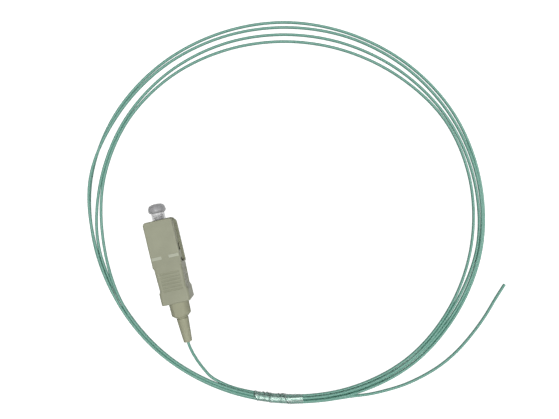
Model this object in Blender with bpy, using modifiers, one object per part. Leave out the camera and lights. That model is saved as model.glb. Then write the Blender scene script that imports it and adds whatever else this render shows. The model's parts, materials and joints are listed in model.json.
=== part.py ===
"""Fibre optic pigtail: a push-pull square plug with a clear dust cap, on one 0.9 mm buffered fibre.

Metres, +Z up. The plug lies key down on a level floor, and its mating end points along +Y.
The fibre leaves the boot, goes four times round a loose flat ring and ends bare, cut off.
The origin is under the middle of the plug, on the floor. Sizes below are in millimetres.
"""

import math

import bmesh
import bpy
from mathutils import Vector

MM = 0.001

# Clearances
GAP = 0.30
SEAT_GAP = 0.30

# The plug, measured along its own axis from the housing's front, forward positive
HOUSING_LENGTH = 26.0
HOUSING_WIDTH = 9.0
HOUSING_HEIGHT = 7.4
HOUSING_WALL = 0.7
HOUSING_EDGE = 0.35
FRONT_CORNER_RADIUS = 1.0
BACK_CORNER_RADIUS = 0.4
CORNER_STEPS = 4
WAIST_START = 14.1
WAIST_LENGTH = 7.3
WAIST_START_DEPTH = 0.2
WAIST_DEPTH = 0.4
WAIST_SLOPE = 0.5
FLARE_LENGTH = 0.9
SIDE_RECESS_DEPTH = 0.3
SIDE_RECESS_HEIGHT = 5.6
SIDE_RECESS_LENGTH = 13.6
WINDOW_START = 8.2
WINDOW_LENGTH = 5.8
WINDOW_HEIGHT = 3.4
KEY_WIDTH = 2.2
KEY_HEIGHT = 0.9
KEY_START = 0.4
KEY_LENGTH = 7.6
GROOVE_COUNT = 6
SIDE_GROOVE_COUNT = 5
GROOVE_PITCH = 1.05
GROOVE_FIRST = 16.4
GROOVE_WIDTH = 0.5
GROOVE_DEPTH = 0.2
GROOVE_ACROSS = 6.2
GROOVE_HEIGHT = 4.4
SLIDE_BACK = 1.7

# The inner frame
FRAME_SETBACK = 0.5
FRAME_LENGTH = 20.5
FRAME_EDGE = 0.3
PARTITION_DEPTH = 6.2
PARTITION_THICKNESS = 1.2
LATCH_LENGTH = 2.4
LATCH_SPARE = 0.6
LATCH_HEIGHT = 2.6
LATCH_RISE = 0.5

# The ferrule, its flange and its spring
FERRULE_DIAMETER = 2.5
FERRULE_REACH = 1.0
FERRULE_LENGTH = 10.5
FERRULE_CHAMFER = 0.35
FERRULE_FLOAT = 1.0
FLANGE_LENGTH = 2.0
FLANGE_TAIL_DIAMETER = 2.6
FLANGE_TAIL_LENGTH = 4.8
SPRING_WIRE = 0.36
SPRING_TURNS = 5
SPRING_POINTS_PER_TURN = 14
SPRING_LENGTH = 6.7

# The stop ring behind the frame, and the boot
STOP_NECK_LENGTH = 3.2
STOP_SHOULDER_DIAMETER = 5.0
STOP_SHOULDER_LENGTH = 1.2
STOP_POST_DIAMETER = 3.4
STOP_POST_LENGTH = 5.0
BOOT_DIAMETER = 6.3
BOOT_BASE_END_DIAMETER = 6.0
BOOT_BASE_BEHIND_HOUSING = 5.05
BOOT_BASE_CHAMFER = 1.1
BOOT_TAIL_LENGTH = 8.05
BOOT_TAIL_START_DIAMETER = 3.7
BOOT_TAIL_END_DIAMETER = 2.6

# The dust cap
CAP_WALL = 0.45
CAP_STEM_INSIDE = 5.2
CAP_STEM_OUTSIDE = 2.2
CAP_HEAD_DIAMETER = 5.4
CAP_HEAD_FRONT_DIAMETER = 5.0
CAP_HEAD_LENGTH = 2.8
CAP_HEAD_EDGE = 0.35

# The fibre
FIBRE_DIAMETER = 0.9
FIBRE_HOLE = FIBRE_DIAMETER + 2 * GAP
FIBRE_POINT_SPACING = 2.4
FIBRE_STRAIGHT_FROM_BOOT = 1.1
FIBRE_SIDE_RESOLUTION = 2

# The ring of four turns. Angles round it are counted from the film wrap, anticlockwise, and the
# wrap's bearing from the ring's middle is in degrees from +X.
RING_RADIUS = 59.4
WRAP_BEARING = 257.35
STATION_DEGREES = 20.0

# How far the fibre's middle lies outside the ring's radius at every station of each turn, with the
# innermost turn first, and how high it lies there
TURN_SPREADS = (
    (-0.9, 0.2, 1.2, 1.0, 0.6, 0.1, -0.9, -3.2, -4.7, -5.1, -4.4, -2.8, -1.2, -0.5, -0.5, 0.0, -0.4, -0.7),
    (-0.4, 0.8, 2.0, 1.9, 2.5, 1.4, 0.1, -1.5, -2.6, -2.9, -2.3, -1.3, -0.3, 0.4, 1.2, 0.3, -0.1, -0.3),
    (0.1, 1.4, 2.6, 2.9, 3.2, 2.3, 1.4, 0.4, -0.3, -0.6, -0.1, 1.1, 2.3, 3.5, 1.9, 1.0, 0.5, 0.1),
    (0.6, 2.0, 3.4, 3.8, 3.9, 3.2, 2.6, 1.6, 0.9, 1.0, 1.3, 2.2, 3.2, 3.5, 2.4, 1.3, 0.8, 0.6),
)
TURN_HEIGHTS = (
    (0.45, 0.45, 0.45, 0.45, 0.45, 0.45, 0.45, 0.45, 0.45, 0.45, 0.45, 0.45, 0.45, 0.45, 0.50, 1.31, 1.31, 1.21),
    (1.21, 1.15, 0.95, 0.50, 0.45, 0.45, 0.45, 0.45, 0.45, 0.45, 0.45, 0.45, 0.45, 0.45, 0.45, 0.45, 0.45, 0.45),
    (0.45, 0.45, 0.45, 0.65, 1.05, 1.00, 0.45, 0.45, 0.45, 0.45, 0.45, 0.45, 0.85, 1.40, 1.31, 1.31, 1.31, 1.21),
    (1.21, 1.15, 0.95, 0.50, 0.45, 0.45, 0.45, 0.45, 0.45, 0.45, 0.45, 0.45, 0.45, 0.45, 0.45, 0.45, 0.45, 0.45),
)

# The fibre joins the ring on its inner side and leaves it on its outer side, as angle and spread
LEAD_IN = ((-24.7, -1.9), (-20.0, -1.25), (-10.0, -1.1), (0.0, -0.9))
TAIL_OUT = ((0.0, 1.1), (10.0, 1.7), (20.0, 3.0), (22.0, 3.5))
RING_JOIN = (3.88, -35.02)

# The fibre's middle between the boot and the ring, after its straight start
LEAD_ROUTE = (
    (0.17, -24.31, 2.85),
    (0.58, -26.47, 2.42),
    (1.20, -28.81, 1.83),
    (2.06, -31.29, 1.20),
    (3.08, -33.62, 0.70),
    (3.66, -34.72, 0.52),
)

# The fibre's middle from the ring to its cut end, as angle round the ring, spread and height
TAIL_ROUTE = (
    (22.3, 3.65, 0.45),
    (23.7, 4.1, 0.45),
    (29.1, 5.65, 0.45),
    (34.8, 7.35, 0.45),
    (39.9, 8.65, 0.45),
    (45.5, 9.95, 0.45),
    (50.8, 10.8, 0.45),
    (56.7, 11.45, 0.45),
    (62.5, 12.15, 0.45),
    (67.8, 12.85, 0.45),
    (71.7, 13.95, 0.45),
)

# The ring's solid, and the film round it
RING_STEP_DEGREES = 5.0
STEP_WIDTH_DEGREES = 0.05
WRAP_START = -10.0
WRAP_STOP = 5.2
WRAP_STEPS = 8
WRAP_WALL = 0.3
WRAP_PROUD = 0.1

# How far a cutter runs past what it cuts
CUTTER_MARGIN = 2.0

# Finish of each material: colour, roughness, metallic
FINISHES = {
    "beige_plastic": ((0.37, 0.38, 0.27, 1.0), 0.45, 0.0),
    "boot_rubber": ((0.35, 0.36, 0.26, 1.0), 0.60, 0.0),
    "ceramic_white": ((0.90, 0.90, 0.88, 1.0), 0.15, 0.0),
    "nickel": ((0.62, 0.60, 0.57, 1.0), 0.25, 1.0),
    "clear_plastic": ((0.72, 0.72, 0.74, 0.55), 0.25, 0.0),
    "clear_film": ((0.85, 0.88, 0.87, 0.35), 0.10, 0.0),
    "fibre_jacket": ((0.16, 0.47, 0.38, 1.0), 0.40, 0.0),
}

# Sizes that follow from the ones above
INSIDE_WIDTH = HOUSING_WIDTH - 2 * HOUSING_WALL
INSIDE_HEIGHT = HOUSING_HEIGHT - 2 * HOUSING_WALL
FRAME_WIDTH = INSIDE_WIDTH - 2 * GAP
FRAME_HEIGHT = INSIDE_HEIGHT - 2 * GAP
FRAME_BACK = -FRAME_SETBACK - FRAME_LENGTH
PARTITION_FRONT = -FRAME_SETBACK - PARTITION_DEPTH
PARTITION_BACK = PARTITION_FRONT - PARTITION_THICKNESS
SLEEVE_DIAMETER = FERRULE_DIAMETER + 2 * GAP
CAP_STEM_DIAMETER = SLEEVE_DIAMETER + 2 * CAP_WALL
FRAME_BORE = CAP_STEM_DIAMETER + 2 * GAP
LATCH_START = WINDOW_START + SLIDE_BACK + LATCH_SPARE
FLANGE_DIAMETER = FRAME_BORE - 2 * GAP
FLANGE_FRONT = PARTITION_BACK - SEAT_GAP
FLANGE_BACK = FLANGE_FRONT - FLANGE_LENGTH
FERRULE_BACK = FERRULE_REACH - FERRULE_LENGTH
SPRING_FRONT = FLANGE_BACK - SEAT_GAP
SPRING_BACK = SPRING_FRONT - SPRING_LENGTH
STOP_FRONT = SPRING_BACK - SEAT_GAP
STOP_NECK_BACK = STOP_FRONT - STOP_NECK_LENGTH
STOP_SHOULDER_FRONT = min(STOP_NECK_BACK, FRAME_BACK - SEAT_GAP)
STOP_SHOULDER_BACK = STOP_SHOULDER_FRONT - STOP_SHOULDER_LENGTH
STOP_POST_BACK = STOP_SHOULDER_BACK - STOP_POST_LENGTH
BOOT_FRONT = STOP_SHOULDER_BACK - SEAT_GAP
BOOT_FLAT_HEIGHT = INSIDE_HEIGHT - 2 * GAP
BOOT_BASE_BACK = -HOUSING_LENGTH - BOOT_BASE_BEHIND_HOUSING
BOOT_BACK = BOOT_BASE_BACK - BOOT_TAIL_LENGTH
CAP_FRONT = CAP_STEM_OUTSIDE + CAP_HEAD_LENGTH
UNDER_WRAP = WRAP_PROUD - WRAP_WALL - GAP
WRAP_SPARE_DEGREES = math.degrees(GAP / RING_RADIUS)
SIDE_GROOVE_DEPTH = min(GROOVE_DEPTH, (HOUSING_WALL - WAIST_DEPTH) / 3)
JOIN_BEARING = math.radians(WRAP_BEARING + LEAD_IN[0][0])
RING_CENTRE = (
    RING_JOIN[0] - (RING_RADIUS + LEAD_IN[0][1]) * math.cos(JOIN_BEARING),
    RING_JOIN[1] - (RING_RADIUS + LEAD_IN[0][1]) * math.sin(JOIN_BEARING),
)

# The plug rests on its key's rear edge and its collar's rear edge, so it leans back a little
PITCH = math.atan2(KEY_HEIGHT, HOUSING_LENGTH - KEY_START - KEY_LENGTH)
AXIS_HEIGHT_AT_FRONT = HOUSING_LENGTH * math.sin(PITCH) + HOUSING_HEIGHT / 2 * math.cos(PITCH)
REACH_FORWARD = CAP_FRONT * math.cos(PITCH) + (CAP_HEAD_FRONT_DIAMETER / 2 - CAP_HEAD_EDGE) * math.sin(PITCH)
REACH_BACK = -BOOT_BACK * math.cos(PITCH) + BOOT_TAIL_END_DIAMETER / 2 * math.sin(PITCH)
AXIS_FRONT_Y = (REACH_BACK - REACH_FORWARD) / 2


def clear_scene():
    for item in list(bpy.data.objects):
        bpy.data.objects.remove(item, do_unlink=True)


def new_collection(name):
    group = bpy.data.collections.new(name)
    bpy.context.scene.collection.children.link(group)
    return group


def material(name):
    found = bpy.data.materials.get(name)
    if found:
        return found
    colour, roughness, metallic = FINISHES[name]
    made = bpy.data.materials.new(name)
    made.use_nodes = True
    shader = made.node_tree.nodes["Principled BSDF"]
    shader.inputs["Base Color"].default_value = colour
    shader.inputs["Alpha"].default_value = colour[3]
    shader.inputs["Roughness"].default_value = roughness
    shader.inputs["Metallic"].default_value = metallic
    made.diffuse_color = colour
    return made


def place(item, group, parent=None, finish=None):
    """Put a new object in its collection, on its parent, with its material."""
    for held in list(item.users_collection):
        held.objects.unlink(item)
    group.objects.link(item)
    item.parent = parent
    if finish:
        item.data.materials.clear()
        item.data.materials.append(material(finish))
    return item


def as_tool(item):
    item.hide_render = True
    item.display_type = "WIRE"
    return item


def mesh_object(name, mesh):
    return bpy.data.objects.new(name, mesh)


def box(name, size, middle):
    """A box of the given size in millimetres, with its middle at the given point."""
    mesh = bpy.data.meshes.new(name)
    shape = bmesh.new()
    bmesh.ops.create_cube(shape, size=1.0)
    bmesh.ops.scale(shape, vec=Vector(size) * MM, verts=shape.verts)
    bmesh.ops.translate(shape, vec=Vector(middle) * MM, verts=shape.verts)
    shape.to_mesh(mesh)
    shape.free()
    return mesh_object(name, mesh)


def turned(name, profile, steps=24, closed=True):
    """A turned piece on the plug's axis. The profile lists (radius, distance forward)."""
    mesh = bpy.data.meshes.new(name)
    shape = bmesh.new()
    verts = [shape.verts.new((radius * MM, 0.0, along * MM)) for radius, along in profile]
    for first, second in zip(verts, verts[1:]):
        shape.edges.new((first, second))
    if closed:
        shape.edges.new((verts[-1], verts[0]))
    shape.to_mesh(mesh)
    shape.free()
    item = mesh_object(name, mesh)
    item.rotation_euler = (-math.pi / 2, 0.0, 0.0)
    spin = item.modifiers.new("turn", "SCREW")
    spin.axis = "Z"
    spin.angle = 2 * math.pi
    spin.steps = steps
    spin.render_steps = steps
    spin.use_merge_vertices = True
    spin.merge_threshold = 1e-6
    spin.use_smooth_shade = True
    return item


def flat_outline(name, points, thickness):
    """A flat plate in millimetres, level, with its middle plane at z = 0, as a mesh."""
    curve = bpy.data.curves.new(name, "CURVE")
    curve.dimensions = "2D"
    curve.fill_mode = "BOTH"
    curve.extrude = thickness / 2 * MM
    spline = curve.splines.new("POLY")
    spline.points.add(len(points) - 1)
    for point, (across, along) in zip(spline.points, points):
        point.co = (across * MM, along * MM, 0.0, 1.0)
    spline.use_cyclic_u = True
    return as_mesh(bpy.data.objects.new(name, curve))


def as_mesh(item):
    """Turn a curve object into a mesh object with its caps welded on."""
    bpy.context.scene.collection.objects.link(item)
    bpy.context.view_layer.update()
    seen = item.evaluated_get(bpy.context.evaluated_depsgraph_get())
    mesh = bpy.data.meshes.new_from_object(seen)
    mesh.name = item.name
    shape = bmesh.new()
    shape.from_mesh(mesh)
    bmesh.ops.remove_doubles(shape, verts=shape.verts, dist=1e-6)
    bmesh.ops.recalc_face_normals(shape, faces=shape.faces)
    shape.to_mesh(mesh)
    shape.free()
    made = mesh_object(item.name, mesh)
    bpy.data.objects.remove(item, do_unlink=True)
    made.name = mesh.name
    return made


def tube(name, points, diameter):
    """A round wire or fibre through points in millimetres, with flat closed ends."""
    curve = bpy.data.curves.new(name, "CURVE")
    curve.dimensions = "3D"
    curve.bevel_depth = diameter / 2 * MM
    curve.bevel_resolution = FIBRE_SIDE_RESOLUTION
    curve.use_fill_caps = True
    spline = curve.splines.new("POLY")
    spline.points.add(len(points) - 1)
    for point, place_at in zip(spline.points, points):
        point.co = (*(Vector(place_at) * MM), 1.0)
    spline.use_smooth = True
    return bpy.data.objects.new(name, curve)


def soften(item, width, segments=2, angle=50.0):
    edge = item.modifiers.new("soft edges", "BEVEL")
    edge.width = width * MM
    edge.segments = segments
    edge.limit_method = "ANGLE"
    edge.angle_limit = math.radians(angle)
    return item


def combine(item, tool, how):
    step = item.modifiers.new(how.lower() + " " + tool.name, "BOOLEAN")
    step.operation = how
    step.object = tool
    return item


def smooth_path(points, spacing):
    """Points along a smooth curve through the given ones, about evenly spaced."""
    knots = [Vector(point) for point in points]
    chord = [(b - a).length for a, b in zip(knots, knots[1:])]
    slopes = [(knots[1] - knots[0]) / chord[0]]
    for index in range(1, len(knots) - 1):
        before = (knots[index] - knots[index - 1]) / chord[index - 1]
        after = (knots[index + 1] - knots[index]) / chord[index]
        share = chord[index] / (chord[index - 1] + chord[index])
        slopes.append(before * share + after * (1 - share))
    slopes.append((knots[-1] - knots[-2]) / chord[-1])
    path = [knots[0]]
    for index, length in enumerate(chord):
        steps = max(1, round(length / spacing))
        for step in range(1, steps + 1):
            t = step / steps
            start = knots[index] * (2 * t**3 - 3 * t**2 + 1) + slopes[index] * length * (t**3 - 2 * t**2 + t)
            stop = knots[index + 1] * (3 * t**2 - 2 * t**3) + slopes[index + 1] * length * (t**3 - t**2)
            path.append(start + stop)
    return path


def on_axis(along):
    """The floor-frame place, in millimetres, of a point on the plug's axis."""
    return (
        0.0,
        AXIS_FRONT_Y + along * math.cos(PITCH),
        AXIS_HEIGHT_AT_FRONT + along * math.sin(PITCH),
    )


def on_ring(angle, spread, height):
    """The place of a point round the ring, by how far it lies outside the ring's radius."""
    bearing = math.radians(WRAP_BEARING + angle)
    radius = RING_RADIUS + spread
    return Vector((
        RING_CENTRE[0] + radius * math.cos(bearing),
        RING_CENTRE[1] + radius * math.sin(bearing),
        height,
    ))


def between(pairs, angle):
    """Straight interpolation in a short list of angle and value."""
    for (low, first), (high, second) in zip(pairs, pairs[1:]):
        if angle <= high:
            return first + (second - first) * (angle - low) / (high - low)
    return pairs[-1][1]


def station_value(table, last, place_at):
    """A smooth value at a station counted through all the turns, one after another."""
    values = [value for turn in table for value in turn] + [last]
    index = min(int(place_at), len(values) - 2)
    t = place_at - index
    p0 = values[max(index - 1, 0)]
    p1 = values[index]
    p2 = values[index + 1]
    p3 = values[min(index + 2, len(values) - 1)]
    return 0.5 * (2 * p1 + (p2 - p0) * t + (2 * p0 - 5 * p1 + 4 * p2 - p3) * t**2
                  + (3 * p1 - p0 - 3 * p2 + p3) * t**3)


def fibre_places(angle):
    """Spread and height of the fibre's middle in each of its passes at one angle round the ring."""
    stations = len(TURN_SPREADS[0])
    low = FIBRE_DIAMETER / 2
    found = []
    for turn in range(len(TURN_SPREADS)):
        at = turn * stations + (angle % 360.0) / STATION_DEGREES
        found.append((station_value(TURN_SPREADS, TAIL_OUT[0][1], at), station_value(TURN_HEIGHTS, low, at)))
    if LEAD_IN[0][0] <= angle < 0:
        found.append((between(LEAD_IN, angle), low))
    if 0 <= angle <= TAIL_OUT[-1][0]:
        found.append((between(TAIL_OUT, angle), low))
    return found


def outline_round(places, grow, bottom=0.0):
    """The eight corners of a tight outline round the fibre in a section, grown by a distance."""
    ways = [math.radians(45.0 * number) for number in range(8)]
    reach = []
    for way in ways:
        furthest = max(spread * math.cos(way) + height * math.sin(way) for spread, height in places)
        reach.append(furthest + FIBRE_DIAMETER / 2 + grow)
    reach[6] = -bottom
    corners = []
    for number in range(8):
        following = (number + 1) % 8
        first, second = ways[number], ways[following]
        turn = math.sin(second - first)
        corners.append((
            (reach[number] * math.sin(second) - reach[following] * math.sin(first)) / turn,
            (reach[following] * math.cos(first) - reach[number] * math.cos(second)) / turn,
        ))
    return corners


def wrap_angles():
    return [WRAP_START + (WRAP_STOP - WRAP_START) * step / WRAP_STEPS for step in range(WRAP_STEPS + 1)]


def ring_stations():
    """Each station of the ring's solid, as angle and corners, with the ring narrowed under the film."""
    join = LEAD_IN[0][0]
    leave = TAIL_OUT[-1][0]
    narrow_start = WRAP_START - WRAP_SPARE_DEGREES
    narrow_stop = WRAP_STOP + WRAP_SPARE_DEGREES
    angles = [join, leave, leave + STEP_WIDTH_DEGREES, 360.0 + join - STEP_WIDTH_DEGREES]
    angles += [narrow_start - STEP_WIDTH_DEGREES, narrow_stop + STEP_WIDTH_DEGREES]
    for step in range(round(360.0 / RING_STEP_DEGREES)):
        angle = -20.0 + step * RING_STEP_DEGREES
        if angle < 360.0 + join and not narrow_start - 1.0 < angle < narrow_stop + 1.0:
            angles.append(angle)
    found = [(angle, outline_round(fibre_places(angle), 0.0)) for angle in angles]
    for angle in (narrow_start, *wrap_angles(), narrow_stop):
        found.append((angle, outline_round(fibre_places(angle), UNDER_WRAP)))
    return sorted(found)


def skin(shape, loops, closed):
    """Quads between loops of points that follow each other round the ring."""
    pairs = list(zip(loops, loops[1:]))
    if closed:
        pairs.append((loops[-1], loops[0]))
    for first, second in pairs:
        for index in range(len(first)):
            following = (index + 1) % len(first)
            shape.faces.new((first[index], first[following], second[following], second[index]))


def section_loop(shape, angle, corners):
    return [shape.verts.new(on_ring(angle, spread, height) * MM) for spread, height in corners]


def shape_object(name, shape):
    mesh = bpy.data.meshes.new(name)
    bmesh.ops.recalc_face_normals(shape, faces=shape.faces)
    shape.to_mesh(mesh)
    shape.free()
    return mesh_object(name, mesh)


def make_ring_solid(group):
    """The four turns as one closed solid of their outer shape, with the ring's bore."""
    shape = bmesh.new()
    loops = [section_loop(shape, angle, corners) for angle, corners in ring_stations()]
    skin(shape, loops, closed=True)
    return place(shape_object("fiber_coil", shape), group, finish="fibre_jacket")


def band(name, start, stop, clearance, low, high):
    """A curved block that follows the ring, wider than it by the clearance on each side."""
    steps = max(2, round((stop - start) / 2.0))
    inner_side = []
    outer_side = []
    for step in range(steps + 1):
        angle = start + (stop - start) * step / steps
        spreads = [spread for spread, _ in fibre_places(angle)]
        inner_side.append(on_ring(angle, min(spreads) - clearance, 0.0)[:2])
        outer_side.append(on_ring(angle, max(spreads) + clearance, 0.0)[:2])
    block = flat_outline(name, outer_side + inner_side[::-1], high - low)
    block.location = (0.0, 0.0, (high + low) / 2 * MM)
    return block


def make_wrap(parts, tools, ring):
    """The clear film round the ring, and the room for its lower side under the ring's solid."""
    shape = bmesh.new()
    outside = []
    inside = []
    for angle in wrap_angles():
        places = fibre_places(angle)
        outside.append(section_loop(shape, angle, outline_round(places, WRAP_PROUD)))
        inside.append(section_loop(shape, angle, outline_round(places, WRAP_PROUD - WRAP_WALL, WRAP_WALL)))
    skin(shape, outside, closed=False)
    skin(shape, inside, closed=False)
    skin(shape, [outside[0], inside[0]], closed=False)
    skin(shape, [outside[-1], inside[-1]], closed=False)
    film = place(shape_object("wrap_tie", shape), parts, finish="clear_film")
    spare = WRAP_SPARE_DEGREES + STEP_WIDTH_DEGREES / 2
    under = band("wrap_under", WRAP_START - spare, WRAP_STOP + spare, CUTTER_MARGIN, -CUTTER_MARGIN,
                 WRAP_WALL + GAP)
    combine(ring, as_tool(place(under, tools)), "DIFFERENCE")
    return film


def corner(across, along, radius, start_angle):
    """A quarter round in the housing's outline, about the given middle, turning clockwise."""
    steps = [math.radians(start_angle - 90.0 * step / CORNER_STEPS) for step in range(CORNER_STEPS + 1)]
    return [(across + radius * math.cos(angle), along + radius * math.sin(angle)) for angle in steps]


def housing_outline():
    """The housing seen from above: rounded front, body, narrowed grip, flare and collar."""
    half = HOUSING_WIDTH / 2
    waist_stop = WAIST_START + WAIST_LENGTH
    front = FRONT_CORNER_RADIUS
    back = BACK_CORNER_RADIUS
    right = corner(half - front, -front, front, 90.0)
    right += [
        (half, -WAIST_START),
        (half - WAIST_START_DEPTH, -WAIST_START - WAIST_SLOPE),
        (half - WAIST_DEPTH, -waist_stop),
        (half, -waist_stop - FLARE_LENGTH),
    ]
    right += corner(half - back, -HOUSING_LENGTH + back, back, 0.0)
    return right + [(-across, along) for across, along in right[::-1]]


def grip_half_width(back):
    """Half the housing's width in its narrowed grip, at a distance behind the front."""
    share = (back - WAIST_START - WAIST_SLOPE) / (WAIST_LENGTH - WAIST_SLOPE)
    return HOUSING_WIDTH / 2 - WAIST_START_DEPTH - (WAIST_DEPTH - WAIST_START_DEPTH) * share


def make_housing(parts, tools, axis):
    housing = flat_outline("outer_housing", housing_outline(), HOUSING_HEIGHT)
    place(housing, parts, axis, "beige_plastic")
    soften(housing, HOUSING_EDGE)
    key_middle = (0.0, -KEY_START - KEY_LENGTH / 2, -(HOUSING_HEIGHT / 2 + KEY_HEIGHT) / 2)
    key_size = (KEY_WIDTH, KEY_LENGTH, HOUSING_HEIGHT / 2 + KEY_HEIGHT)
    combine(housing, as_tool(place(box("key", key_size, key_middle), tools, axis)), "UNION")
    hollow = box("housing_hollow", (INSIDE_WIDTH, HOUSING_LENGTH + 2 * CUTTER_MARGIN, INSIDE_HEIGHT),
                 (0.0, -HOUSING_LENGTH / 2, 0.0))
    combine(housing, as_tool(place(hollow, tools, axis)), "DIFFERENCE")
    window = box("side_windows", (HOUSING_WIDTH + 2 * CUTTER_MARGIN, WINDOW_LENGTH, WINDOW_HEIGHT),
                 (0.0, -WINDOW_START - WINDOW_LENGTH / 2, 0.0))
    combine(housing, as_tool(place(window, tools, axis)), "DIFFERENCE")
    half = HOUSING_WIDTH / 2
    for side, name in ((1, "right"), (-1, "left")):
        recess = box(f"side_recess_{name}", (SIDE_RECESS_DEPTH * 2, SIDE_RECESS_LENGTH * 2, SIDE_RECESS_HEIGHT),
                     (side * half, 0.0, 0.0))
        combine(housing, as_tool(place(recess, tools, axis)), "DIFFERENCE")
    flat_groove = (GROOVE_ACROSS, GROOVE_WIDTH, GROOVE_DEPTH * 2)
    side_groove = (SIDE_GROOVE_DEPTH * 2, GROOVE_WIDTH, GROOVE_HEIGHT)
    for number in range(GROOVE_COUNT):
        back = GROOVE_FIRST + number * GROOVE_PITCH
        grip = grip_half_width(back)
        sides = [("top", flat_groove, 0.0, HOUSING_HEIGHT / 2), ("bottom", flat_groove, 0.0, -HOUSING_HEIGHT / 2)]
        if number < SIDE_GROOVE_COUNT:
            sides += [("right", side_groove, grip, 0.0), ("left", side_groove, -grip, 0.0)]
        for name, size, across, height in sides:
            groove = box(f"groove_{name}_{number + 1}", size, (across, -back, height))
            combine(housing, as_tool(place(groove, tools, axis)), "DIFFERENCE")
    return housing


def make_frame(parts, tools, axis):
    frame = box("plug_frame", (FRAME_WIDTH, FRAME_LENGTH, FRAME_HEIGHT),
                (0.0, -FRAME_SETBACK - FRAME_LENGTH / 2, 0.0))
    place(frame, parts, axis, "beige_plastic")
    soften(frame, FRAME_EDGE)
    latch = box("latches", (FRAME_WIDTH + 2 * LATCH_RISE, LATCH_LENGTH, LATCH_HEIGHT),
                (0.0, -LATCH_START - LATCH_LENGTH / 2, 0.0))
    combine(frame, as_tool(place(latch, tools, axis)), "UNION")
    wide = FRAME_BORE / 2
    narrow = SLEEVE_DIAMETER / 2
    front = CUTTER_MARGIN
    back = FRAME_BACK - CUTTER_MARGIN
    profile = (
        (0.0, front), (wide, front), (wide, PARTITION_FRONT), (narrow, PARTITION_FRONT),
        (narrow, PARTITION_BACK), (wide, PARTITION_BACK), (wide, back), (0.0, back),
    )
    bore = turned("frame_bore", profile, steps=28, closed=False)
    combine(frame, as_tool(place(bore, tools, axis)), "DIFFERENCE")
    return frame


def make_ferrule(parts, axis):
    half = FERRULE_DIAMETER / 2
    profile = (
        (0.0, FERRULE_REACH), (half - FERRULE_CHAMFER, FERRULE_REACH),
        (half, FERRULE_REACH - FERRULE_CHAMFER), (half, FERRULE_BACK), (0.0, FERRULE_BACK),
    )
    return place(turned("ferrule", profile, closed=False), parts, axis, "ceramic_white")


def make_flange(parts, axis):
    outer = FLANGE_DIAMETER / 2
    tail = FLANGE_TAIL_DIAMETER / 2
    seat = SLEEVE_DIAMETER / 2
    hole = FIBRE_HOLE / 2
    profile = (
        (outer, FLANGE_FRONT), (outer, FLANGE_BACK), (tail, FLANGE_BACK),
        (tail, FLANGE_BACK - FLANGE_TAIL_LENGTH), (hole, FLANGE_BACK - FLANGE_TAIL_LENGTH),
        (hole, FERRULE_BACK - SEAT_GAP), (seat, FERRULE_BACK - SEAT_GAP), (seat, FLANGE_FRONT),
    )
    return place(turned("ferrule_flange", profile), parts, axis, "nickel")


def make_spring(parts, axis):
    mean = (FLANGE_DIAMETER - SPRING_WIRE) / 2
    travel = SPRING_LENGTH - SPRING_WIRE
    count = SPRING_TURNS * SPRING_POINTS_PER_TURN
    points = []
    for step in range(count + 1):
        angle = 2 * math.pi * step / SPRING_POINTS_PER_TURN
        along = SPRING_FRONT - SPRING_WIRE / 2 - travel * step / count
        points.append((mean * math.cos(angle), along, mean * math.sin(angle)))
    return place(tube("ferrule_spring", points, SPRING_WIRE), parts, axis, "nickel")


def make_stop_ring(parts, axis):
    neck = (FRAME_BORE - 2 * GAP) / 2
    shoulder = STOP_SHOULDER_DIAMETER / 2
    post = STOP_POST_DIAMETER / 2
    hole = FIBRE_HOLE / 2
    profile = (
        (neck, STOP_FRONT), (neck, STOP_SHOULDER_FRONT), (shoulder, STOP_SHOULDER_FRONT),
        (shoulder, STOP_SHOULDER_BACK), (post, STOP_SHOULDER_BACK), (post, STOP_POST_BACK),
        (hole, STOP_POST_BACK), (hole, STOP_FRONT),
    )
    return place(turned("stop_ring", profile), parts, axis, "nickel")


def make_boot(parts, tools, axis):
    outer = BOOT_DIAMETER / 2
    base_end = BOOT_BASE_END_DIAMETER / 2
    socket = STOP_POST_DIAMETER / 2 + GAP
    hole = FIBRE_HOLE / 2
    profile = (
        (outer, BOOT_FRONT), (base_end, BOOT_BASE_BACK + BOOT_BASE_CHAMFER),
        (base_end - BOOT_BASE_CHAMFER, BOOT_BASE_BACK), (BOOT_TAIL_START_DIAMETER / 2, BOOT_BASE_BACK),
        (BOOT_TAIL_END_DIAMETER / 2, BOOT_BACK), (hole, BOOT_BACK),
        (hole, STOP_POST_BACK - SEAT_GAP), (socket, STOP_POST_BACK - SEAT_GAP), (socket, BOOT_FRONT),
    )
    boot = place(turned("boot", profile, steps=32), parts, axis, "boot_rubber")
    for side, name in ((1, "top"), (-1, "bottom")):
        height = side * (BOOT_FLAT_HEIGHT + CUTTER_MARGIN) / 2
        size = (BOOT_DIAMETER + CUTTER_MARGIN, BOOT_FRONT - BOOT_BASE_BACK + CUTTER_MARGIN, CUTTER_MARGIN)
        flat = box(f"boot_flat_{name}", size, (0.0, (BOOT_FRONT + BOOT_BASE_BACK) / 2, height))
        combine(boot, as_tool(place(flat, tools, axis)), "DIFFERENCE")
    return boot


def make_dust_cap(parts, axis):
    stem = CAP_STEM_DIAMETER / 2
    head = CAP_HEAD_DIAMETER / 2
    front = CAP_HEAD_FRONT_DIAMETER / 2
    bore = SLEEVE_DIAMETER / 2
    bore_end = FERRULE_REACH + 2 * SEAT_GAP
    profile = (
        (0.0, CAP_FRONT), (front - CAP_HEAD_EDGE, CAP_FRONT), (front, CAP_FRONT - CAP_HEAD_EDGE),
        (head, CAP_STEM_OUTSIDE + CAP_HEAD_EDGE), (head - CAP_HEAD_EDGE, CAP_STEM_OUTSIDE),
        (stem, CAP_STEM_OUTSIDE), (stem, -CAP_STEM_INSIDE), (bore, -CAP_STEM_INSIDE),
        (bore, bore_end), (0.0, bore_end),
    )
    return place(turned("dust_cap", profile, closed=False), parts, axis, "clear_plastic")


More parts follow.
